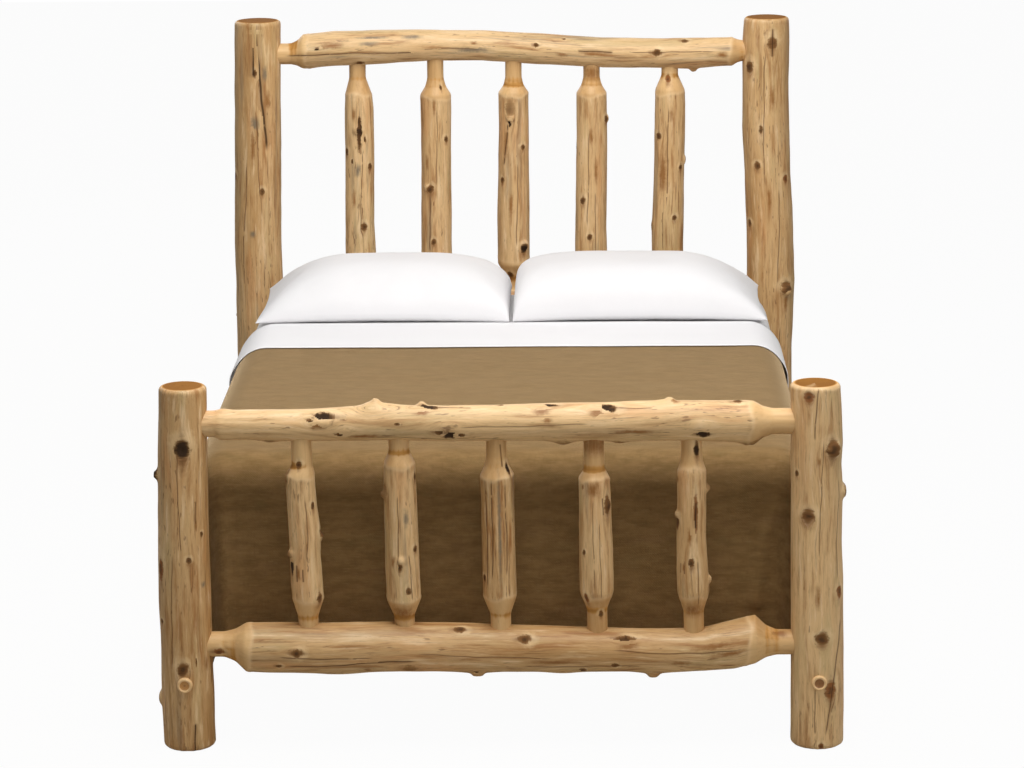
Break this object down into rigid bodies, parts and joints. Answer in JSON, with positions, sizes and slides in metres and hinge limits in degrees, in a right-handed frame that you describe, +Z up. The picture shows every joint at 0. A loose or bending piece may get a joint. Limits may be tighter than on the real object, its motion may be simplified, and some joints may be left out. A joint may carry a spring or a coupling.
{
  "type": "log bed",
  "caption": "Rustic peeled-log bed with round-tenon spindles between rails and posts, sawn slats on side rails, and a made-up mattress set with blanket and pillows.",
  "frame": {"origin": "on the floor at the middle of the bed's outline: half-way between the outer faces of the posts from side to side and from foot to head", "axes": "+X to the right of someone who faces the bed from its foot, +Y from the footboard to the headboard, +Z up"},
  "size_m": [1.7189, 2.378, 1.523],
  "materials": {
    "log": "hand-peeled cedar under satin varnish",
    "board": "sawn softwood, unfinished",
    "plug": "satin varnish, darker dished centre",
    "steel": "zinc plated",
    "ticking": "plain white ticking over springs and padding",
    "cotton": "white cotton, soft and slightly creased",
    "blanket": "brown basket-woven cotton, matt"
  },
  "bodies": {
    "frame": {"post_foot_left": "log", "post_foot_right": "log", "post_head_left": "log", "post_head_right": "log", "foot_rail_top": "log", "foot_rail_bottom": "log", "head_rail_top": "log", "head_rail_bottom": "log", "side_rail_left": "log", "side_rail_right": "log", "foot_spindle_1": "log", "foot_spindle_2": "log", "foot_spindle_3": "log", "foot_spindle_4": "log", "foot_spindle_5": "log", "head_spindle_1": "log", "head_spindle_2": "log", "head_spindle_3": "log", "head_spindle_4": "log", "head_spindle_5": "log", "slat_1": "board", "slat_2": "board", "slat_3": "board", "slat_4": "board", "slat_5": "board", "slat_6": "board", "slat_7": "board", "centre_beam": "board", "centre_leg_1": "board", "centre_leg_2": "board", "centre_leg_3": "board", "lag_bolts": "steel", "bolt_plugs": "plug"},
    "foundation": {"box_spring": "ticking"},
    "bedding": {"mattress": "ticking", "fitted_sheet": "cotton", "top_sheet": "cotton", "blanket": "blanket"},
    "pillow_left": {"pillow_left": "cotton"},
    "pillow_right": {"pillow_right": "cotton"}
  },
  "joints": [
    {"name": "foundation_lift", "type": "slide", "parent": "frame", "child": "foundation", "axis": [0, 0, 1], "range_m": [0, 1.31]},
    {"name": "mattress_lift", "type": "slide", "parent": "foundation", "child": "bedding", "axis": [0, 0, 1], "range_m": [0, 1.09]},
    {"name": "pillow_left_lift", "type": "slide", "parent": "bedding", "child": "pillow_left", "axis": [0, 0, 1], "range_m": [0, 0.82]},
    {"name": "pillow_right_lift", "type": "slide", "parent": "bedding", "child": "pillow_right", "axis": [0, 0, 1], "range_m": [0, 0.82]}
  ]
}
